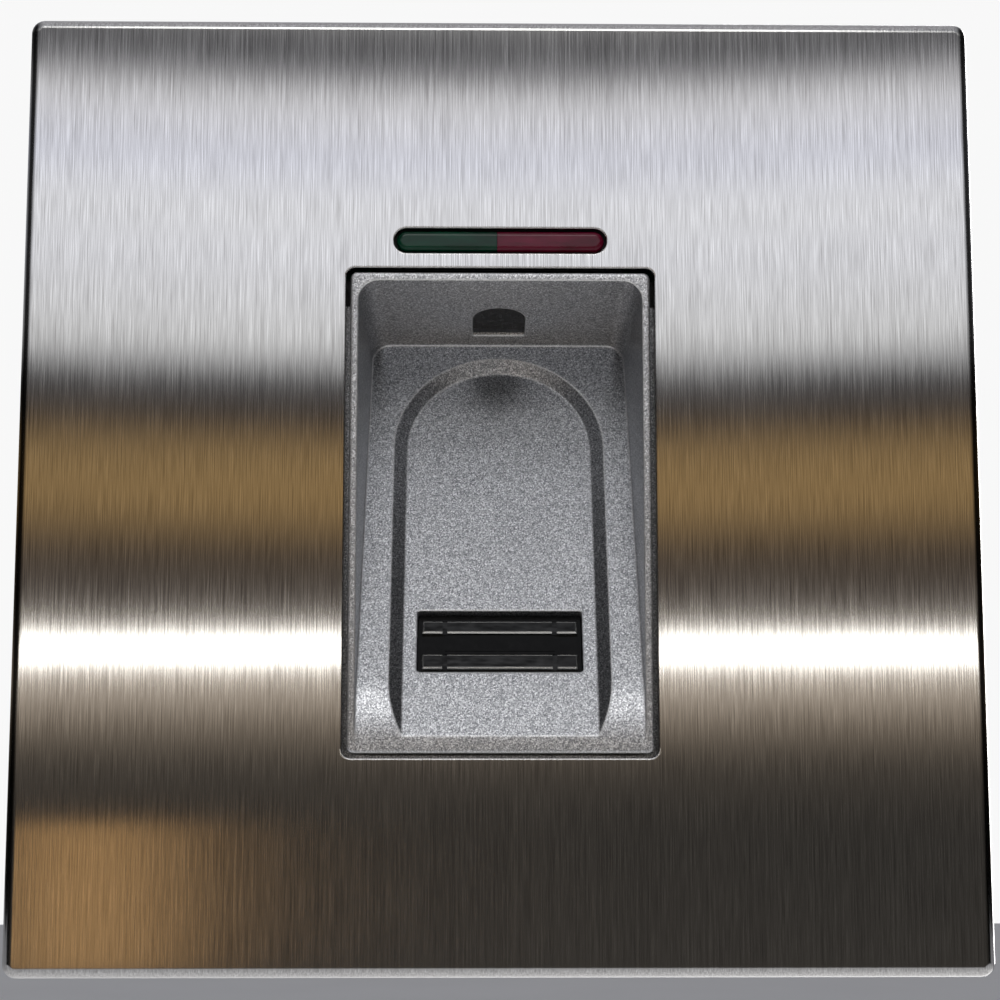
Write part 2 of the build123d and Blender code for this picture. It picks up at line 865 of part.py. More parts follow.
with BuildPart() as sensor_strip:
    strip_top = sensor_face + strip_height
    ramp_block(bar_notch_x, (strip_start, strip_start + strip_width), (sensor_face, strip_top))
    ramp_block(
        bar_notch_x, (strip_line_start, strip_line_start + strip_line_width),
        (strip_top, strip_top + strip_line_height),
    )
sensor_strip.part.label = "sensor_strip"
export_step(sensor_strip.part, "parts/sensor_strip.step")

for bar_name, bar_start, bar_width in (
    ("sensor_bar_upper", upper_bar_start, upper_bar_width),
    ("sensor_bar_lower", lower_bar_start, lower_bar_width),
):
    with BuildPart() as sensor_bar:
        bar_top = sensor_face + bar_height
        ramp_block(bar_half_length, (bar_start, bar_start + bar_width), (sensor_face, bar_top))
        fillet(sensor_bar.edges().group_by(ramp_rise)[-1], bar_bevel)
        for side in (-1, 1):
            with BuildSketch(ramp_layer(bar_top - bar_notch_depth)):
                with Locations((side * bar_notch_x, bar_start + bar_width / 2)):
                    Rectangle(bar_notch_width, bar_width)
            extrude(amount=bar_notch_depth, mode=Mode.SUBTRACT)
    sensor_bar.part.label = bar_name
    export_step(sensor_bar.part, f"parts/{bar_name}.step")

holder_half_width = hollow_half_width - holder_side_gap
holder_start = sensor_flange_start - holder_margin
holder_end = sensor_flange_end + holder_margin

with BuildPart() as sensor_holder:
    ramp_block(holder_half_width, (holder_start, holder_end), (holder_back, sensor_back))
    ramp_block(
        sensor_flange_half - holder_window_margin,
        (sensor_flange_start + holder_window_margin, sensor_flange_end - holder_window_margin),
        (holder_back, sensor_back),
        mode=Mode.SUBTRACT,
    )
    with BuildSketch(ramp_layer(holder_back)):
        with Locations(*sensor_screw_points):
            Circle(small_screw_radius + screw_fit)
    extrude(amount=holder_thickness, mode=Mode.SUBTRACT)
sensor_holder.part.label = "sensor_holder"
export_step(sensor_holder.part, "parts/sensor_holder.step")

with BuildPart() as sensor_screws:
    with BuildSketch(ramp_layer(holder_back - small_screw_head_height)):
        with Locations(*sensor_screw_points):
            Circle(small_screw_head_radius)
    extrude(amount=small_screw_head_height)
    with BuildSketch(ramp_layer(holder_back)):
        with Locations(*sensor_screw_points):
            Circle(small_screw_radius)
    extrude(amount=-holder_back - 2 * sensor_hole_floor)
    with BuildSketch(ramp_layer(holder_back - small_screw_head_height)):
        with Locations(*sensor_screw_points):
            Rectangle(small_screw_head_radius, recess_width)
            Rectangle(recess_width, small_screw_head_radius)
    extrude(amount=recess_depth, mode=Mode.SUBTRACT)
sensor_screws.part.label = "sensor_screws"
export_step(sensor_screws.part, "parts/sensor_screws.step")

# ---------------------------------------------------------------------------
# Rear case behind the wall surface
# ---------------------------------------------------------------------------

header_half_width = pole_count * pole_pitch / 2 + header_end_wall

with BuildPart() as rear_case:
    with BuildSketch(facing(case_back)):
        with Locations((0, case_z)):
            RectangleRounded(case_width, case_height, case_corner_radius)
    extrude(amount=case_back)
    fillet(rear_case.faces().sort_by(Axis.Y)[-1].edges(), case_wall / 2)
    with BuildSketch(facing(case_ear_thickness)):
        with Locations(*case_screw_points):
            Circle(case_ear_radius)
        with Locations(*[(x / 2, z) for x, z in case_screw_points]):
            Rectangle(case_screw_x, 2 * case_ear_radius)
    extrude(amount=case_ear_thickness)
    with BuildSketch(facing(case_inner_back)):
        with Locations((0, case_z)):
            RectangleRounded(case_inner_width, case_inner_height, case_corner_radius / 2)
    extrude(amount=case_inner_back, mode=Mode.SUBTRACT)
    with BuildSketch(facing(case_inner_back)):
        with Locations(*board_post_points):
            Circle(board_post_radius)
    extrude(amount=case_inner_back - main_board_back)
    with BuildSketch(facing(case_inner_back)):
        with Locations(*board_post_points):
            Circle(small_screw_radius + screw_fit)
    extrude(amount=case_inner_back - main_board_back, mode=Mode.SUBTRACT)
    with BuildSketch(facing(case_back)):
        with Locations((0, header_z)):
            Rectangle(
                2 * (header_half_width + header_window_gap), header_height + 2 * header_window_gap
            )
    extrude(amount=case_wall, mode=Mode.SUBTRACT)
    with BuildSketch(facing(case_ear_thickness)):
        with Locations(*case_screw_points):
            Circle(screw_radius + screw_fit)
    extrude(amount=case_ear_thickness, mode=Mode.SUBTRACT)
rear_case.part.label = "rear_case"
export_step(rear_case.part, "parts/rear_case.step")

with BuildPart() as case_screws:
    pan_screws(
        case_screw_points, case_ear_thickness, case_ear_thickness - frame_front - board_gap,
        screw_head_radius, screw_head_height, screw_radius, False,
    )
case_screws.part.label = "case_screws"
export_step(case_screws.part, "parts/case_screws.step")

# ---------------------------------------------------------------------------
# Main board and what is soldered on it
# ---------------------------------------------------------------------------

light_pin_z = notch_top - light_pin_inset
header_pin_points = [
    ((index - (pole_count - 1) / 2) * pole_pitch, header_z) for index in range(pole_count)
]

with BuildPart() as main_board:
    with BuildSketch(facing(main_board_back)):
        with Locations((0, case_z)):
            RectangleRounded(board_width, board_height, board_corner_radius)
        with Locations(*board_post_points):
            Circle(small_screw_radius + screw_fit, mode=Mode.SUBTRACT)
        with Locations(*header_pin_points):
            Rectangle(pin_width, pin_width, mode=Mode.SUBTRACT)
        with Locations((0, light_pin_z)):
            with GridLocations(light_pin_pitch, 1, light_pin_count, 1):
                Rectangle(light_pin_width, light_pin_width, mode=Mode.SUBTRACT)
    extrude(amount=main_board_thickness)
main_board.part.label = "main_board"
export_step(main_board.part, "parts/main_board.step")

with BuildPart() as board_screws:
    pan_screws(
        board_post_points, main_board_front, main_board_thickness + board_screw_bite,
        small_screw_head_radius, small_screw_head_height, small_screw_radius, True,
    )
board_screws.part.label = "board_screws"
export_step(board_screws.part, "parts/board_screws.step")


def chip(place, size, seat, out, four_sided=False):
    """Moulded package with gull-wing leads; out is -1 on a board's front face and +1 on its back."""
    width, height, thickness, leads, pitch = size
    with BuildSketch(facing(seat + out * chip_stand)) as body:
        with Locations(place):
            Rectangle(width, height)
    extrude(body.sketch, amount=-out * thickness)
    with BuildSketch(facing(seat)) as lead_rows:
        with Locations(place):
            with GridLocations(1, pitch, 1, leads):
                Rectangle(width + 2 * lead_reach, pitch * lead_share)
            if four_sided:
                with GridLocations(pitch, 1, leads, 1):
                    Rectangle(pitch * lead_share, height + 2 * lead_reach)
    extrude(lead_rows.sketch, amount=-out * (chip_stand + lead_thickness))


with BuildPart() as processor_chip:
    chip(processor_place, processor_size, main_board_front, -1, four_sided=True)
processor_chip.part.label = "processor_chip"
export_step(processor_chip.part, "parts/processor_chip.step")

with BuildPart() as memory_chip:
    chip(memory_place, small_chip_size, main_board_front, -1)
memory_chip.part.label = "memory_chip"
export_step(memory_chip.part, "parts/memory_chip.step")

with BuildPart() as transceiver_chip:
    chip(transceiver_place, small_chip_size, main_board_back, 1)
transceiver_chip.part.label = "transceiver_chip"
export_step(transceiver_chip.part, "parts/transceiver_chip.step")

with BuildPart() as regulator_chip:
    chip(regulator_place, small_chip_size, main_board_back, 1)
regulator_chip.part.label = "regulator_chip"
export_step(regulator_chip.part, "parts/regulator_chip.step")

with BuildPart() as crystal:
    with BuildSketch(facing(main_board_front)):
        with Locations(crystal_place):
            RectangleRounded(crystal_size[0], crystal_size[1], crystal_corner_radius)
    extrude(amount=crystal_size[2])
crystal.part.label = "crystal"
export_step(crystal.part, "parts/crystal.step")

with BuildPart() as power_inductor:
    with BuildSketch(facing(main_board_back)) as inductor_outline:
        with Locations(inductor_place):
            Rectangle(inductor_size, inductor_size)
        chamfer(inductor_outline.vertices(), inductor_corner)
    extrude(amount=-inductor_height)
power_inductor.part.label = "power_inductor"
export_step(power_inductor.part, "parts/power_inductor.step")

with BuildPart() as capacitors:
    with BuildSketch(facing(main_board_front)):
        with Locations(capacitor_place):
            with GridLocations(capacitor_pitch, 1, 2, 1):
                Rectangle(capacitor_base, capacitor_base)
    extrude(amount=capacitor_base_height)
    with BuildSketch(facing(main_board_front - capacitor_base_height)):
        with Locations(capacitor_place):
            with GridLocations(capacitor_pitch, 1, 2, 1):
                Circle(capacitor_radius)
    extrude(amount=capacitor_can_height)
    fillet(capacitors.edges().group_by(Axis.Y)[0], capacitor_edge_radius)
capacitors.part.label = "capacitors"
export_step(capacitors.part, "parts/capacitors.step")

with BuildPart() as buzzer:
    with BuildSketch(facing(main_board_front)):
        with Locations(buzzer_place):
            Rectangle(buzzer_size, buzzer_size)
    extrude(amount=buzzer_height)
    with BuildSketch(facing(main_board_front - buzzer_height)):
        with Locations(buzzer_place):
            Circle(buzzer_hole_radius)
    extrude(amount=-buzzer_hole_depth, mode=Mode.SUBTRACT)
buzzer.part.label = "buzzer"
export_step(buzzer.part, "parts/buzzer.step")

flex_board_y = main_board_front - flex_height - flex_thickness / 2
flex_slot_half = flex_thickness / 2 + flex_slot_gap

with BuildPart() as flex_connector:
    block(
        (-flex_width / 2 - flex_connector_wall, flex_width / 2 + flex_connector_wall),
        (main_board_front - flex_connector_height, main_board_front),
        (flex_plug_z, flex_plug_z + flex_connector_length),
    )
    block(
        (-flex_width / 2, flex_width / 2),
        (flex_board_y - flex_slot_half, flex_board_y + flex_slot_half),
        (flex_plug_z, flex_plug_z + flex_insertion), mode=Mode.SUBTRACT,
    )
flex_connector.part.label = "flex_connector"
export_step(flex_connector.part, "parts/flex_connector.step")

# The flex leaves the package square to the ramp, runs back to the board and turns up into its connector
flex_start = sensor_back - flex_thickness
exit_y = front + sensor_middle * ramp_sin - flex_start * ramp_cos
exit_z = crease_z + sensor_middle * ramp_cos + flex_start * ramp_sin
drop_y = exit_y + flex_drop * ramp_cos
drop_z = exit_z - flex_drop * ramp_sin

with BuildPart() as sensor_flex:
    with BuildSketch(Plane.YZ):
        with BuildLine() as flex_path:
            FilletPolyline(
                (exit_y, exit_z), (drop_y, drop_z), (flex_board_y, drop_z),
                (flex_board_y, flex_plug_z + flex_insertion - flex_thickness),
                radius=flex_bend_radius,
            )
            offset(amount=flex_thickness / 2, side=Side.BOTH)
        make_face()
    extrude(amount=flex_width / 2, both=True)
sensor_flex.part.label = "sensor_flex"
export_step(sensor_flex.part, "parts/sensor_flex.step")

# ---------------------------------------------------------------------------
# Pluggable terminal block
# ---------------------------------------------------------------------------

pin_tip = main_board_back + header_base + pin_reach

with BuildPart() as terminal_header:
    with BuildSketch(facing(header_front)):
        with Locations((0, header_z)):
            Rectangle(2 * header_half_width, header_height)
    extrude(amount=header_depth)
    with BuildSketch(facing(header_front)):
        with Locations((0, header_z)):
            Rectangle(2 * (header_half_width - header_wall), header_height - 2 * header_wall)
    extrude(amount=header_depth - header_base, mode=Mode.SUBTRACT)
    with BuildSketch(facing(main_board_back + header_base)):
        with Locations(*header_pin_points):
            Rectangle(pin_width, pin_width)
    extrude(amount=header_base, mode=Mode.SUBTRACT)
terminal_header.part.label = "terminal_header"
export_step(terminal_header.part, "parts/terminal_header.step")

with BuildPart() as header_pins:
    with BuildSketch(facing(pin_tip)):
        with Locations(*header_pin_points):
            Rectangle(pin_width, pin_width)
    extrude(amount=pin_tip - main_board_front + pin_tail)
header_pins.part.label = "header_pins"
export_step(header_pins.part, "parts/header_pins.step")

# Plug: its nose enters the header, its body stays outside the case; the screws face down
nose_half_width = header_half_width - header_wall - header_fit
nose_half_height = header_height / 2 - header_wall - header_fit
nose_end = main_board_back + header_base + plug_gap
plug_front = header_front + plug_gap
plug_end = plug_front + plug_body_depth
plug_half_width = header_half_width - plug_side_trim
plug_bottom = header_z - plug_screw_side
plug_top = plug_bottom + plug_height
pocket_start = plug_front + pocket_front_gap
pocket_end = pocket_start + pocket_depth
pocket_middle = (pocket_start + pocket_end) / 2
strip_top_z = header_z - pin_width / 2 - contact_pin_gap
strip_bottom_z = strip_top_z - contact_thickness
head_outer_z = plug_bottom + terminal_head_sink
head_inner_z = head_outer_z + terminal_head_height
pocket_bottom = head_inner_z + terminal_shoulder
thread_end_z = strip_bottom_z - 2 * contact_pin_gap
cage_inner_bottom = thread_end_z - contact_pin_gap
cage_inner_top = cage_inner_bottom + cage_opening
cage_bottom = cage_inner_bottom - cage_thread_wall
cage_top = cage_inner_top + cage_far_wall
pocket_top = cage_top + cage_end_gap
pole_positions = [x for x, z in header_pin_points]

with BuildPart() as terminal_plug:
    block((-plug_half_width, plug_half_width), (plug_front, plug_end), (plug_bottom, plug_top))
    fillet(terminal_plug.edges().filter_by(Axis.X), plug_edge_radius)
    block(
        (-nose_half_width, nose_half_width), (nose_end, plug_front),
        (header_z - nose_half_height, header_z + nose_half_height),
    )
    for x in pole_positions:
        block(
            (x - tunnel_width / 2, x + tunnel_width / 2), (nose_end, pocket_start),
            (strip_bottom_z - tunnel_clearance, header_z + pin_width / 2 + tunnel_clearance),
            mode=Mode.SUBTRACT,
        )
        block(
            (x - pocket_width / 2, x + pocket_width / 2), (pocket_start, pocket_end),
            (pocket_bottom, pocket_top), mode=Mode.SUBTRACT,
        )
        block(
            (x - contact_width / 2 - cage_side_gap, x + contact_width / 2 + cage_side_gap),
            (pocket_end, plug_end), (strip_bottom_z, cage_inner_top - cage_side_gap), mode=Mode.SUBTRACT,
        )
    wire_edges = terminal_plug.faces().sort_by(Axis.Y)[-1].inner_wires().edges()
    chamfer(wire_edges, wire_entry_chamfer)
    with BuildSketch(Plane.XY.offset(plug_bottom)):
        with Locations(*[(x, pocket_middle) for x in pole_positions]):
            Circle(terminal_head_radius + terminal_head_gap)
    extrude(amount=head_inner_z - plug_bottom, mode=Mode.SUBTRACT)
    with BuildSketch(Plane.XY.offset(plug_bottom)):
        with Locations(*[(x, pocket_middle) for x in pole_positions]):
            Circle(terminal_screw_radius + terminal_screw_fit)
    extrude(amount=pocket_bottom - plug_bottom, mode=Mode.SUBTRACT)
terminal_plug.part.label = "terminal_plug"
export_step(terminal_plug.part, "parts/terminal_plug.step")

with BuildPart() as plug_contacts:
    for x in pole_positions:
        block(
            (x - contact_width / 2, x + contact_width / 2),
            (nose_end + contact_nose_setback, pocket_end - contact_end_setback),
            (strip_bottom_z, strip_top_z),
        )
plug_contacts.part.label = "plug_contacts"
export_step(plug_contacts.part, "parts/plug_contacts.step")

for number, x in enumerate(pole_positions, start=1):
    with BuildPart() as terminal_screw:
        with Locations((x, pocket_middle, (head_outer_z + head_inner_z) / 2)):
            Cylinder(terminal_head_radius, terminal_head_height)
        with Locations((x, pocket_middle, (head_inner_z + thread_end_z) / 2)):
            Cylinder(terminal_screw_radius, thread_end_z - head_inner_z)
        block(
            (x - terminal_head_radius, x + terminal_head_radius),
            (pocket_middle - terminal_slot_width / 2, pocket_middle + terminal_slot_width / 2),
            (head_outer_z, head_outer_z + terminal_slot_depth), mode=Mode.SUBTRACT,
        )
    terminal_screw.part.label = f"terminal_screw_{number}"
    export_step(terminal_screw.part, f"parts/terminal_screw_{number}.step")

    with BuildPart() as terminal_cage:
        cage_half = pocket_width / 2 - cage_side_gap
        block(
            (x - cage_half, x + cage_half), (pocket_start + cage_end_gap, pocket_end - cage_end_gap),
            (cage_bottom, cage_top),
        )
        block(
            (x - cage_half + cage_wall, x + cage_half - cage_wall), (pocket_start, pocket_end),
            (cage_inner_bottom, cage_inner_top), mode=Mode.SUBTRACT,
        )
        with Locations((x, pocket_middle, (cage_bottom + cage_inner_bottom) / 2)):
            Cylinder(
                terminal_screw_radius + terminal_screw_fit, cage_thread_wall, mode=Mode.SUBTRACT
            )
    terminal_cage.part.label = f"terminal_cage_{number}"
    export_step(terminal_cage.part, f"parts/terminal_cage_{number}.step")

# ---------------------------------------------------------------------------
# Status lights behind the slot
# ---------------------------------------------------------------------------

light_chamber_end = lens_half_length - light_chamber_inset
light_x = [
    lens_split_x + side * (lens_half_length + step * light_spacing) / 2
    for side in (-1, 1)
    for step in (-1, 1)
]

with BuildPart() as light_board:
    with BuildSketch(facing(frame_front)):
        with Locations((0, (light_board_top + light_board_bottom) / 2)):
            RectangleRounded(
                2 * light_board_half_width, light_board_top - light_board_bottom, light_board_corner_radius
            )
        with Locations(*light_screw_points):
            Circle(small_screw_radius + screw_fit, mode=Mode.SUBTRACT)
        with Locations(*peg_points):
            Circle(peg_radius + peg_fit, mode=Mode.SUBTRACT)
        with Locations((0, light_pin_z)):
            with GridLocations(light_pin_pitch, 1, light_pin_count, 1):
                Rectangle(light_pin_width, light_pin_width, mode=Mode.SUBTRACT)
    extrude(amount=light_board_thickness)
light_board.part.label = "light_board"
export_step(light_board.part, "parts/light_board.step")

with BuildPart() as light_board_screws:
    pan_screws(
        light_screw_points, light_board_front, light_board_thickness - frame_front - board_gap,
        small_screw_head_radius, small_screw_head_height, small_screw_radius, True,
    )
light_board_screws.part.label = "light_board_screws"
export_step(light_board_screws.part, "parts/light_board_screws.step")

with BuildPart() as light_board_pins:
    with BuildSketch(facing(main_board_back + light_pin_back_tail)):
        with Locations((0, light_pin_z)):
            with GridLocations(light_pin_pitch, 1, light_pin_count, 1):
                Rectangle(light_pin_width, light_pin_width)
    extrude(amount=main_board_back + light_pin_back_tail - light_board_front + light_pin_front_tail)
light_board_pins.part.label = "light_board_pins"
export_step(light_board_pins.part, "parts/light_board_pins.step")


def lens_outline(half_length, half_height, keep):
    """Half of the capsule-shaped lens outline; keep is -1 for the left half and +1 for the right."""
    joint = lens_split_x + keep * lens_joint_gap / 2
    with BuildSketch(facing(lens_back)) as outline:
        with Locations((0, slot_z)):
            SlotOverall(2 * half_length, 2 * half_height)
        with Locations((joint - keep * half_length, slot_z)):
            Rectangle(2 * half_length, 4 * half_height, mode=Mode.SUBTRACT)
    return outline.sketch


for lens_name, keep in (("green_lens", -1), ("red_lens", 1)):
    with BuildPart() as lens:
        extrude(lens_outline(lens_half_length, lens_half_height, keep), amount=lens_back - lens_front)
        rim = lens.faces().sort_by(Axis.Y)[0].edges()
        dome_edges = [edge for edge in rim if abs(edge.center().X - lens_split_x) > lens_joint_gap]
        fillet(dome_edges, lens_dome)
        extrude(
            lens_outline(lens_half_length + lens_flange, lens_half_height + lens_flange, keep),
            amount=lens_flange_thickness,
        )
    lens.part.label = lens_name
    export_step(lens.part, f"parts/{lens_name}.step")

with BuildPart() as lens_holder:
    with BuildSketch(facing(light_board_front)):
        with Locations((0, slot_z)):
            RectangleRounded(
                2 * light_holder_half_width, 2 * light_holder_half_height, light_holder_corner_radius
            )
    extrude(amount=light_board_front - light_holder_front)
    with BuildSketch(facing(light_holder_front)):
        with Locations((0, slot_z)):
            SlotOverall(2 * (lens_half_length + stud_fit), 2 * (lens_half_height + stud_fit))
    extrude(amount=-(lens_back - light_holder_front), mode=Mode.SUBTRACT)
    with BuildSketch(facing(lens_back)):
        with Locations((0, slot_z)):
            SlotOverall(
                2 * (lens_half_length + lens_flange + stud_fit),
                2 * (lens_half_height + lens_flange + stud_fit),
            )
    extrude(amount=lens_flange_thickness, mode=Mode.SUBTRACT)
    for keep in (-1, 1):
        near = lens_split_x + keep * light_septum / 2
        far = keep * light_chamber_end
        block(
            (min(near, far), max(near, far)), (lens_back, light_board_front),
            (slot_z - light_chamber_half_height, slot_z + light_chamber_half_height), mode=Mode.SUBTRACT,
        )
    with BuildSketch(facing(light_board_front)):
        with Locations(*peg_points):
            Circle(peg_radius)
    extrude(amount=-(light_board_thickness + peg_frame_bite))
lens_holder.part.label = "lens_holder"
export_step(lens_holder.part, "parts/lens_holder.step")

for lights_name, positions in (("green_leds", light_x[:2]), ("red_leds", light_x[2:])):
    with BuildPart() as leds:
        for x in positions:
            block(
                (x - light_width / 2, x + light_width / 2),
                (light_board_front - light_thickness, light_board_front),
                (slot_z - light_height / 2, slot_z + light_height / 2),
            )
    leds.part.label = lights_name
    export_step(leds.part, f"parts/{lights_name}.step")

with BuildPart() as tamper_sensor:
    with BuildSketch(facing(light_board_front)):
        with Locations((tamper_place[0], slot_z + tamper_place[1])):
            Rectangle(tamper_size[0], tamper_size[1])
    extrude(amount=tamper_size[2])
tamper_sensor.part.label = "tamper_sensor"
export_step(tamper_sensor.part, "parts/tamper_sensor.step")

switch_front = light_board_front - switch_height
switch_z = slot_z + switch_rise

with BuildPart() as service_switch:
    block(
        (switch_x - switch_size / 2, switch_x + switch_size / 2), (switch_front, light_board_front),
        (switch_z - switch_size / 2, switch_z + switch_size / 2),
    )
    with BuildSketch(facing(switch_front)):
        with Locations((switch_x, switch_z)):
            Circle(button_radius + button_fit)
    extrude(amount=-(button_sink + button_travel + button_fit), mode=Mode.SUBTRACT)
service_switch.part.label = "service_switch"
export_step(service_switch.part, "parts/service_switch.step")

with BuildPart() as service_button:
    with BuildSketch(facing(switch_front + button_sink)):
        with Locations((switch_x, switch_z)):
            Circle(button_radius)
    extrude(amount=button_sink + button_height)
    fillet(service_button.edges().group_by(Axis.Y)[0], button_edge_radius)
service_button.part.label = "service_button"
export_step(service_button.part, "parts/service_button.step")

# ---------------------------------------------------------------------------
# Finger light behind the guide's dark window
# ---------------------------------------------------------------------------

side_board_bottom = guide_top + window_flange_thickness + side_board_gap
window_middle_y = front + (window_start_depth + window_end_depth) / 2

with BuildPart() as side_board:
    block(
        (-side_board_half_width, side_board_half_width), (frame_front + board_gap, main_board_front),
        (side_board_bottom, side_board_bottom + side_board_thickness),
    )
side_board.part.label = "side_board"
export_step(side_board.part, "parts/side_board.step")

with BuildPart() as guide_led:
    with BuildSketch(Plane.XY.offset(side_board_bottom)):
        with Locations((0, window_middle_y)):
            Rectangle(guide_led_size[0], guide_led_size[1])
    extrude(amount=-guide_led_size[2])
guide_led.part.label = "guide_led"
export_step(guide_led.part, "parts/guide_led.step")
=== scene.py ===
import json
from math import cos, radians, sin

import bpy
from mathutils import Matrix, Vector


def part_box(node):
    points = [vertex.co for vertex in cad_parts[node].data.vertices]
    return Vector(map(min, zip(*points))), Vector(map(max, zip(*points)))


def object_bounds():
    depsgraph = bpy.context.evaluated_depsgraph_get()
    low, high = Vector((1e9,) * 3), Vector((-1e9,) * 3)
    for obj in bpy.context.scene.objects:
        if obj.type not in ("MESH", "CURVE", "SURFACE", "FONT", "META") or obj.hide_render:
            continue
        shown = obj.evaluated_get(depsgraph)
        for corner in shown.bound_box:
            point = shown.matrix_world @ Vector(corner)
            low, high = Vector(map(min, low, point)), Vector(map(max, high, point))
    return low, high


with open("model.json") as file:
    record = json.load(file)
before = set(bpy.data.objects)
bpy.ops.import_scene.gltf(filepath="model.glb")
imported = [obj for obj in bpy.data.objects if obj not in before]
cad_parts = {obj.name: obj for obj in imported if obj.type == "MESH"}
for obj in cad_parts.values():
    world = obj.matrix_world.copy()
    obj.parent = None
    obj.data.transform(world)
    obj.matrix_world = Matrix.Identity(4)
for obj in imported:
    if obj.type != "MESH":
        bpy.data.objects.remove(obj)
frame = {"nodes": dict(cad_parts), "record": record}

MM = 0.001
RAMP = radians(22.5)  # slope of the finger track, which the sensor lies on

cad_low, cad_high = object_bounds()


# ---------------------------------------------------------------------------
# Node helpers
# ---------------------------------------------------------------------------


class Nodes:
    """Short names for building one material's or world's node tree."""

    def __init__(self, tree):
        self.tree = tree
        self.tree.nodes.clear()

    def new(self, kind, **settings):
        node = self.tree.nodes.new(kind)
        for name, value in settings.items():
            setattr(node, name, value)
        return node

    def link(self, source, target):
        self.tree.links.new(source, target)

    def position(self):
        """Object coordinates, which equal the CAD frame in metres."""
        return self.new("ShaderNodeTexCoord").outputs["Object"]

    def stretched(self, scale):
        """Position multiplied by a scale per axis, in repeats per metre."""
        mapping = self.new("ShaderNodeMapping")
        mapping.inputs["Scale"].default_value = scale
        self.link(self.position(), mapping.inputs["Vector"])
        return mapping.outputs["Vector"]

    def noise(self, scale, detail=2.0, roughness=0.5):
        """Noise whose features are 1 / scale metres across on each axis."""
        node = self.new("ShaderNodeTexNoise")
        node.inputs["Scale"].default_value = 1.0
        node.inputs["Detail"].default_value = detail
        node.inputs["Roughness"].default_value = roughness
        self.link(self.stretched(scale), node.inputs["Vector"])
        return node.outputs["Fac"]

    def voronoi(self, scale, feature="F1"):
        """Cells about 1 / scale metres across; gives the node, for its several outputs."""
        node = self.new("ShaderNodeTexVoronoi", feature=feature)
        node.inputs["Scale"].default_value = 1.0
        self.link(self.stretched(scale), node.inputs["Vector"])
        return node

    def spread(self, value, low, high, out_low, out_high):
        """Maps a value from one range to another."""
        node = self.new("ShaderNodeMapRange")
        self.link(value, node.inputs["Value"])
        limits = {"From Min": low, "From Max": high, "To Min": out_low, "To Max": out_high}
        for name, number in limits.items():
            node.inputs[name].default_value = number
        return node.outputs["Result"]

    def maths(self, operation, first, second):
        """One sum on two values, each a socket or a number."""
        node = self.new("ShaderNodeMath", operation=operation)
        for index, value in enumerate((first, second)):
            if isinstance(value, (int, float)):
                node.inputs[index].default_value = value
            else:
                self.link(value, node.inputs[index])
        return node.outputs[0]

    def ramp(self, value, stops):
        """Colour ramp; stops are (place, grey or colour)."""
        node = self.new("ShaderNodeValToRGB")
        elements = node.color_ramp.elements
        while len(elements) < len(stops):
            elements.new(0.5)
        for element, (place, colour) in zip(elements, stops):
            element.position = place
            grey = isinstance(colour, (int, float))
            element.color = (colour, colour, colour, 1) if grey else (*colour, 1)
        self.link(value, node.inputs["Fac"])
        return node.outputs["Color"]

    def bump(self, height, strength, distance, normal=None):
        """Normals tilted by a height pattern of this depth, in metres."""
        node = self.new("ShaderNodeBump")
        node.inputs["Strength"].default_value = strength
        node.inputs["Distance"].default_value = distance
        self.link(height, node.inputs["Height"])
        if normal is not None:
            self.link(normal, node.inputs["Normal"])
        return node.outputs["Normal"]

    def rounded(self, radius):
        """Normals that round off sharp edges over a radius."""
        node = self.new("ShaderNodeBevel", samples=4)
        node.inputs["Radius"].default_value = radius
        return node.outputs["Normal"]

    def facing(self, direction):
        """How squarely the surface faces a direction, fixed or from a socket: 1 is square on."""
        node = self.new("ShaderNodeVectorMath", operation="DOT_PRODUCT")
        self.link(self.new("ShaderNodeNewGeometry").outputs["Normal"], node.inputs[0])
        if isinstance(direction, bpy.types.NodeSocket):
            self.link(direction, node.inputs[1])
        else:
            node.inputs[1].default_value = direction
        return node.outputs["Value"]

    def lighter(self, colour, mask, bright):
        """Colour blended towards a bright one where the mask is high."""
        node = self.new("ShaderNodeMix", data_type="RGBA")
        factor, first_colour, second_colour, colour_result = 0, 6, 7, 2
        self.link(mask, node.inputs[factor])
        self.link(colour, node.inputs[first_colour])
        node.inputs[second_colour].default_value = (*bright, 1)
        return node.outputs[colour_result]

    def surface(self, **values):
        """Principled shader into the output; values set sockets, and sockets are linked."""
        shader = self.new("ShaderNodeBsdfPrincipled")
        for name, value in values.items():
            socket = shader.inputs[name.replace("_", " ")]
            if isinstance(value, bpy.types.NodeSocket):
                self.link(value, socket)
            else:
                socket.default_value = value
        output = self.new("ShaderNodeOutputMaterial")
        self.link(shader.outputs[0], output.inputs["Surface"])
        return shader


def material(name):
    """New material and the helper for its node tree."""
    made = bpy.data.materials.new(name)
    made.use_nodes = True
    return made, Nodes(made.node_tree)


def grey(level):
    """Opaque grey of one level."""
    return (level, level, level, 1.0)


# ---------------------------------------------------------------------------
# Materials
# ---------------------------------------------------------------------------


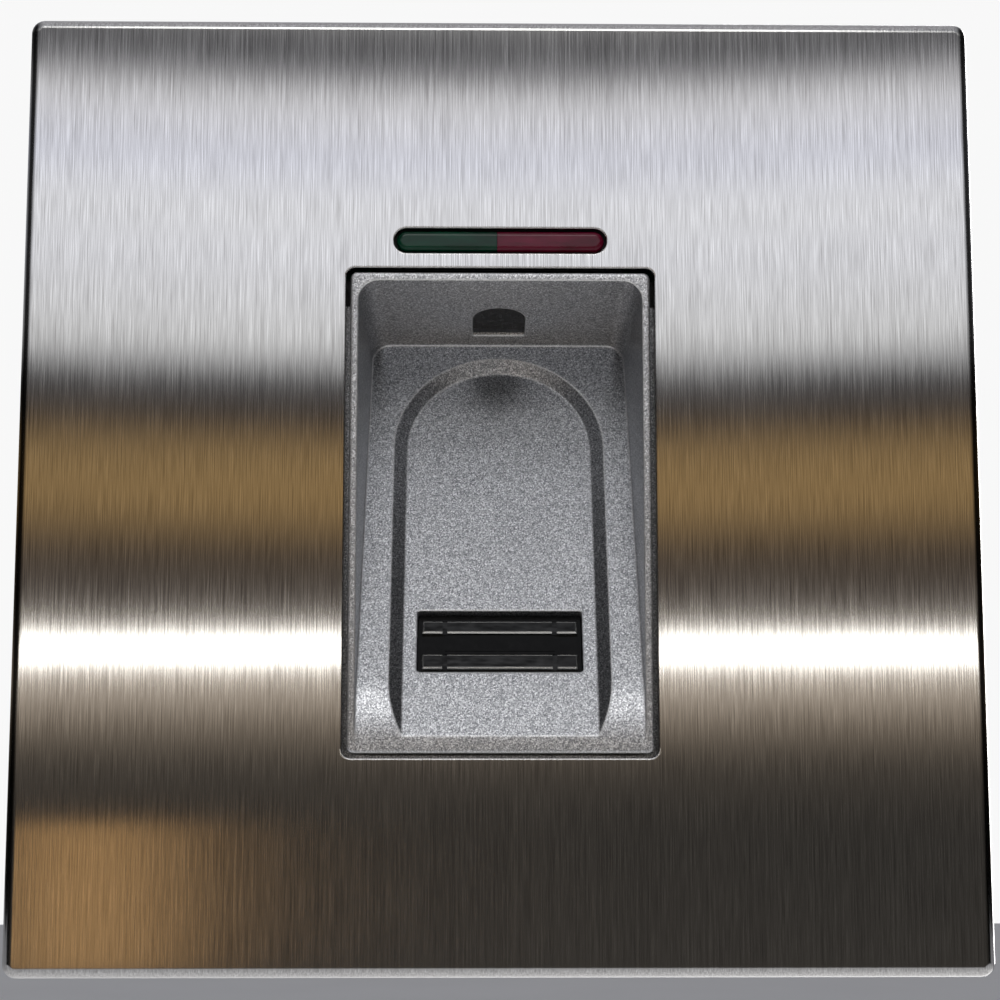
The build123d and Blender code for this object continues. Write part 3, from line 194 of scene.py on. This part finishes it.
def brushed_plate():
    """Stainless sheet brushed from top to bottom."""
    made, n = material("brushed_plate")
    fine = n.noise((14000, 12000, 260), detail=2.0)
    long = n.noise((8000, 7000, 40), detail=3.0)
    broad = n.noise((60, 60, 12), detail=2.0)
    streaks = n.maths("ADD", n.maths("MULTIPLY", fine, 0.6), n.maths("MULTIPLY", long, 0.4))
    scratch, steel, polish = (0.36, 0.35, 0.34), (0.62, 0.61, 0.595), (0.90, 0.89, 0.87)
    colour = n.ramp(streaks, [(0.30, scratch), (0.5, steel), (0.68, polish)])
    wear = n.maths("ADD", streaks, n.maths("MULTIPLY", broad, 0.3))
    roughness = n.spread(wear, 0.4, 0.9, 0.085, 0.125)
    edges = n.rounded(0.15 * MM)
    shader = n.surface(
        Base_Color=colour, Metallic=1.0, Roughness=roughness, Anisotropic=0.95,
        Normal=n.bump(streaks, 0.35, 0.008 * MM, edges),
    )
    # tangent across the grain; the little Y is there because X alone is undefined on the side faces
    across = n.new("ShaderNodeCombineXYZ")
    across.inputs["X"].default_value = 1.0
    across.inputs["Y"].default_value = 0.05
    n.link(across.outputs[0], shader.inputs["Tangent"])
    return made


def guide_paint():
    """Fine textured silver metallic paint on the finger guide, with a painted highlight along its
    edges.
    """
    made, n = material("guide_paint")
    grain = n.noise((7600, 7600, 7600), detail=2.0, roughness=0.5)
    flake = n.voronoi((9500, 9500, 9500)).outputs["Color"]
    soft = n.noise((90, 90, 90), detail=2.0)
    tone = n.maths("ADD", n.maths("MULTIPLY", flake, 0.5), n.maths("MULTIPLY", grain, 0.5))
    dark, middle, glint = (0.17, 0.175, 0.185), (0.45, 0.455, 0.468), (0.96, 0.96, 0.97)
    colour = n.ramp(tone, [(0.27, dark), (0.5, middle), (0.73, glint)])
    roughness = n.spread(soft, 0.35, 0.65, 0.29, 0.33)
    edges = n.rounded(0.30 * MM)
    # painted highlight: the base colour is lifted to near white where the rounded normals turn away
    # from the true ones, along every edge
    painted_edge_highlight = n.spread(n.facing(edges), 0.999, 0.94, 0.0, 1.0)
    n.surface(
        Base_Color=n.lighter(colour, painted_edge_highlight, (1.0, 0.99, 0.97)),
        Metallic=0.92,
        Roughness=roughness,
        Normal=n.bump(grain, 0.8, 0.025 * MM, edges),
    )
    return made


def moulded_plastic(name, level, roughness, tint=(1.0, 1.0, 1.0)):
    """Moulded thermoplastic with a spark-eroded texture."""
    made, n = material(name)
    grain = n.noise((3500, 3500, 3500), detail=2.0)
    cloud = n.noise((120, 120, 120), detail=3.0)
    dark = tuple(level * 0.93 * t for t in tint)
    light = tuple(level * 1.07 * t for t in tint)
    n.surface(
        Base_Color=n.ramp(cloud, [(0.35, dark), (0.65, light)]),
        Roughness=n.spread(grain, 0.3, 0.7, roughness - 0.06, roughness + 0.06),
        Normal=n.bump(grain, 0.3, 0.03 * MM, n.rounded(0.2 * MM)),
    )
    return made


def tinted_lens(name, deep, bright):
    """Polished coloured lens with a faintly cloudy tint."""
    made, n = material(name)
    cloud = n.noise((260, 260, 900), detail=3.0)
    n.surface(
        Base_Color=n.ramp(cloud, [(0.3, deep), (0.7, bright)]),
        Roughness=n.spread(cloud, 0.3, 0.7, 0.05, 0.09),
        IOR=1.38,
        Normal=n.bump(cloud, 0.05, 0.05 * MM),
    )
    return made


def gloss_black(name, level, roughness):
    """Polished black with a little dust."""
    made, n = material(name)
    dust = n.noise((1800, 1800, 1800), detail=4.0, roughness=0.7)
    n.surface(
        Base_Color=n.ramp(dust, [(0.45, level), (0.8, level * 5)]),
        Roughness=n.spread(dust, 0.3, 0.8, roughness * 0.7, roughness * 2.0),
        IOR=1.3,
    )
    return made


def plated_metal(name, colour, roughness=0.3):
    """Zinc, tin or nickel plate with faint tumbling marks."""
    made, n = material(name)
    marks = n.noise((900, 900, 2400), detail=4.0, roughness=0.65)
    low = tuple(c * 0.8 for c in colour)
    n.surface(
        Base_Color=n.ramp(marks, [(0.3, low), (0.7, colour)]),
        Metallic=1.0,
        Roughness=n.spread(marks, 0.3, 0.7, roughness - 0.08, roughness + 0.1),
        Normal=n.bump(marks, 0.2, 0.02 * MM, n.rounded(0.1 * MM)),
    )
    return made


def circuit_board():
    """Green solder mask, lighter where it lies over copper tracks."""
    made, n = material("board_laminate")
    tracks = n.voronoi((420, 420, 420), feature="DISTANCE_TO_EDGE").outputs["Distance"]
    weave = n.noise((2200, 2200, 2200), detail=2.0)
    over_track, track_edge, bare = (0.02, 0.17, 0.07), (0.01, 0.09, 0.04), (0.012, 0.11, 0.05)
    colour = n.ramp(tracks, [(0.03, over_track), (0.07, track_edge), (0.6, bare)])
    n.surface(
        Base_Color=colour, Roughness=n.spread(weave, 0.3, 0.7, 0.28, 0.4), Coat_Weight=0.4,
        Normal=n.bump(tracks, 0.2, 0.05 * MM),
    )
    return made


def foam_rubber():
    """Closed-cell foam with fine pores."""
    made, n = material("seal_foam")
    cells = n.voronoi((1500, 1500, 1500)).outputs["Distance"]
    n.surface(
        Base_Color=n.ramp(cells, [(0.1, 0.02), (0.7, 0.05)]), Roughness=0.85,
        Normal=n.bump(cells, 0.5, 0.1 * MM),
    )
    return made


def flex_film():
    """Polyimide film with copper conductors showing through."""
    made, n = material("flex_film")
    stripes = n.noise((1600, 1, 1), detail=0.0)
    n.surface(
        Base_Color=n.ramp(stripes, [(0.44, (0.32, 0.12, 0.02)), (0.5, (0.62, 0.30, 0.06))]),
        Roughness=0.3, Coat_Weight=0.5,
    )
    return made


def led_body():
    """White moulded package with a warm tint."""
    made, n = material("led_body")
    cloud = n.noise((900, 900, 900), detail=2.0)
    n.surface(
        Base_Color=n.ramp(cloud, [(0.3, (0.70, 0.69, 0.60)), (0.7, (0.85, 0.84, 0.78))]),
        Roughness=0.35,
        Coat_Weight=0.5,
    )
    return made


def chip_epoxy():
    """Matt black moulding compound."""
    made, n = material("chip_epoxy")
    grain = n.noise((4200, 4200, 4200), detail=3.0)
    n.surface(
        Base_Color=n.ramp(grain, [(0.3, 0.012), (0.7, 0.03)]),
        Roughness=n.spread(grain, 0.3, 0.7, 0.5, 0.65),
        Normal=n.bump(grain, 0.4, 0.02 * MM, n.rounded(0.08 * MM)),
    )
    return made


def sensor_bars():
    """Black-plated guide bars, with a painted highlight along their rounded edges."""
    made, n = material("sensor_metal")
    wear = n.noise((700, 2600, 2600), detail=3.0)
    # painted highlight: the base colour turns near white where the surface turns away from the
    # track's slope, on the bars' rounded edges; the wear noise only roughens where it starts
    top = n.facing((0.0, -cos(RAMP), sin(RAMP)))
    painted_edge_glint = n.spread(n.maths("ADD", top, n.maths("MULTIPLY", wear, 0.06)), 0.93, 1.012, 1.0, 0.0)
    dark = n.ramp(wear, [(0.3, 0.020), (0.7, 0.055)])
    n.surface(
        Base_Color=n.lighter(dark, painted_edge_glint, (0.85, 0.84, 0.80)), Metallic=1.0,
        Roughness=n.spread(wear, 0.3, 0.7, 0.16, 0.24),
    )
    return made


looks = {
    "brushed_plate": brushed_plate(),
    "guide_paint": guide_paint(),
    "black_plastic": moulded_plastic("black_plastic", 0.018, 0.5),
    "frame_plastic": moulded_plastic("frame_plastic", 0.42, 0.45, (1.0, 1.01, 1.02)),
    "terminal_plastic": moulded_plastic("terminal_plastic", 0.16, 0.32, (0.25, 1.0, 0.5)),
    "screw_steel": plated_metal("screw_steel", (0.62, 0.62, 0.64)),
    "terminal_steel": plated_metal("terminal_steel", (0.66, 0.65, 0.62)),
    "can_metal": plated_metal("can_metal", (0.78, 0.78, 0.79), 0.34),
    "contact_metal": plated_metal("contact_metal", (0.80, 0.75, 0.62), 0.25),
    "sensor_metal": sensor_bars(),
    "seal_foam": foam_rubber(),
    "board_laminate": circuit_board(),
    "chip_epoxy": chip_epoxy(),
    "green_lens": tinted_lens("green_lens", (0.0, 0.022, 0.010), (0.0, 0.060, 0.028)),
    "red_lens": tinted_lens("red_lens", (0.085, 0.0, 0.010), (0.20, 0.004, 0.035)),
    "led_body": led_body(),
    "flex_film": flex_film(),
    "smoked_window": gloss_black("smoked_window", 0.003, 0.25),
    "sensor_epoxy": gloss_black("sensor_epoxy", 0.0015, 0.12),
}

for entry in frame["record"]["subparts"]:
    node = frame["nodes"][entry["node"]]
    node.data.materials.clear()
    node.data.materials.append(looks[entry["material_slot"]])

# ---------------------------------------------------------------------------
# Camera
# ---------------------------------------------------------------------------

plate_low, plate_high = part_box("cover_plate")
plate_centre = (Vector(plate_low) + Vector(plate_high)) / 2
plate_centre.y = plate_low[1]  # on its front face
plate_width = plate_high[0] - plate_low[0]

CAMERA_LENS_MM = 70.2
CAMERA_SENSOR_MM = 36.0
CAMERA_OFFSET = Vector((-0.029, -1.998, -0.277))  # from the plate's centre, in plate widths
CAMERA_TILT = radians(7.43)  # upwards from level
CAMERA_TURN = radians(-0.82)

camera_data = bpy.data.cameras.new("camera")
camera_data.sensor_width = CAMERA_SENSOR_MM
camera_data.lens = CAMERA_LENS_MM
camera_data.clip_start = 0.01
camera = bpy.data.objects.new("camera", camera_data)
camera.location = plate_centre + plate_width * CAMERA_OFFSET
camera.rotation_euler = (radians(90) + CAMERA_TILT, 0.0, CAMERA_TURN)
bpy.context.scene.collection.objects.link(camera)
bpy.context.scene.camera = camera

# ---------------------------------------------------------------------------
# Studio: pale floor, backdrop and soft lights
# ---------------------------------------------------------------------------


def stage_material(name, level):
    """Matt, very slightly uneven grey for the studio."""
    made, n = material(name)
    cloud = n.noise((8, 8, 8))
    n.surface(Base_Color=n.ramp(cloud, [(0.3, level * 0.97), (0.7, level)]), Roughness=0.8)
    return made


def sheet(name, corners, look):
    """Flat four-cornered studio surface."""
    mesh = bpy.data.meshes.new(name)
    mesh.from_pydata(corners, [], [(0, 1, 2, 3)])
    mesh.materials.append(look)
    made = bpy.data.objects.new(name, mesh)
    bpy.context.scene.collection.objects.link(made)


FLOOR_DROP = 0.25
FLOOR_SIDE = 3.0
FLOOR_FRONT = -1.2  # the floor stops here, so that the plate doesn't mirror it
FLOOR_BACK = 3.0

floor_z = cad_low[2] - FLOOR_DROP
pale = stage_material("pale_floor", 0.95)
floor_corners = [
    (-FLOOR_SIDE, FLOOR_FRONT, floor_z),
    (FLOOR_SIDE, FLOOR_FRONT, floor_z),
    (FLOOR_SIDE, FLOOR_BACK, floor_z),
    (-FLOOR_SIDE, FLOOR_BACK, floor_z),
]
sheet("floor", floor_corners, pale)


def area_light(name, place, aim, size, energy, colour=(1, 1, 1)):
    """Rectangular light at a place, aimed at a point; energy in watts."""
    data = bpy.data.lights.new(name, "AREA")
    data.shape = "RECTANGLE"
    data.size, data.size_y = size
    data.energy = energy
    data.color = colour
    made = bpy.data.objects.new(name, data)
    made.location = place
    made.rotation_euler = (Vector(aim) - Vector(place)).to_track_quat("-Z", "Y").to_euler()
    bpy.context.scene.collection.objects.link(made)


def band_place(angle):
    """Place on the world's ramp of a direction this many degrees above the horizon."""
    return 0.5 + 0.5 * sin(radians(angle))


# what the plate mirrors: (degrees above the horizon, colour)
ROOM_BANDS = [
    (-90, (0.30, 0.30, 0.30)),
    (-26, (0.42, 0.41, 0.40)),
    (-9, (0.06, 0.055, 0.05)),
    (-2, (0.045, 0.042, 0.038)),
    (-0.2, (0.07, 0.06, 0.05)),
    (0.8, (0.20, 0.16, 0.12)),
    (2.0, (0.55, 0.46, 0.37)),
    (3.4, (0.24, 0.20, 0.16)),
    (4.4, (0.07, 0.055, 0.045)),
    (5.8, (0.08, 0.06, 0.045)),
    (7.4, (0.38, 0.245, 0.105)),
    (8.8, (0.32, 0.21, 0.095)),
    (9.8, (0.06, 0.05, 0.045)),
    (10.8, (0.04, 0.04, 0.045)),
    (11.9, (0.92, 0.93, 0.95)),
    (14.5, (1.0, 1.02, 1.10)),
    (16, (1.08, 1.10, 1.16)),
    (17.2, (0.92, 0.95, 1.10)),
    (19.0, (0.98, 0.98, 1.02)),
    (19.8, (0.12, 0.12, 0.13)),
    (20.9, (0.06, 0.06, 0.07)),
    (21.6, (0.55, 0.55, 0.55)),
    (35, (0.34, 0.35, 0.38)),
    (90, (0.44, 0.44, 0.47)),
]
LATERAL_START = 0.30  # the sideways part of a direction where the room starts to darken
LATERAL_END = 0.66
LATERAL_SHADE = 0.02
REAR_LEVEL = 0.30  # brightness of the room behind the reader
BACKDROP = 0.94  # level the camera sees past the model


def studio_world():
    """Room seen in the metal: bands of light and shade by height, darker to both sides."""
    world = bpy.data.worlds.new("studio")
    bpy.context.scene.world = world
    world.use_nodes = True
    n = Nodes(world.node_tree)
    split = n.new("ShaderNodeSeparateXYZ")
    n.link(n.new("ShaderNodeTexCoord").outputs["Generated"], split.inputs[0])
    height = n.spread(split.outputs["Z"], -1.0, 1.0, 0.0, 1.0)
    bands = n.ramp(height, [(band_place(angle), tint) for angle, tint in ROOM_BANDS])
    aside = n.maths("ABSOLUTE", split.outputs["X"], 0.0)
    front = n.spread(aside, LATERAL_START, LATERAL_END, 1.0, LATERAL_SHADE)
    rear = n.spread(split.outputs["Y"], 0.0, 0.5, 0.0, REAR_LEVEL)
    level = n.maths("MAXIMUM", front, rear)
    room = n.new("ShaderNodeBackground")
    n.link(bands, room.inputs["Color"])
    n.link(level, room.inputs["Strength"])
    backdrop = n.new("ShaderNodeBackground")
    backdrop.inputs["Color"].default_value = grey(BACKDROP)
    mix = n.new("ShaderNodeMixShader")
    n.link(n.new("ShaderNodeLightPath").outputs["Is Camera Ray"], mix.inputs[0])
    n.link(room.outputs[0], mix.inputs[1])
    n.link(backdrop.outputs[0], mix.inputs[2])
    output = n.new("ShaderNodeOutputWorld")
    n.link(mix.outputs[0], output.inputs["Surface"])


studio_world()
bpy.context.scene.view_settings.view_transform = "Standard"


def card(name, sideways, upward, width, height, distance, strength, colour=(1, 1, 1)):
    """Soft light seen from the plate at two slopes (right and up), sized in the same slopes."""
    place = plate_centre + distance * Vector((sideways, -1.0, upward))
    area = (distance * width) * (distance * height)
    size = (distance * width, distance * height)
    area_light(name, place, plate_centre, size, strength * area, colour)


rear_place = (0.30, 0.50, 0.12)
rear_size = (0.5, 0.5)
rear_watts = 5.0
area_light("rear_softbox", rear_place, plate_centre, rear_size, rear_watts)

# name, slope right, slope up, width and height in slopes, distance, watts per square metre, colour
card("strip_light", 0.0, 0.043, 1.1, 0.016, 1.4, 13.0, (1.0, 0.98, 0.94))
card("warm_window", -0.222, -0.098, 0.080, 0.085, 1.4, 2.2, (1.0, 0.56, 0.20))
card("front_softbox", 0.0, 0.62, 0.5, 0.30, 1.0, 8.5)
card("top_softbox", 0.0, 1.3, 0.8, 1.2, 0.8, 0.30)
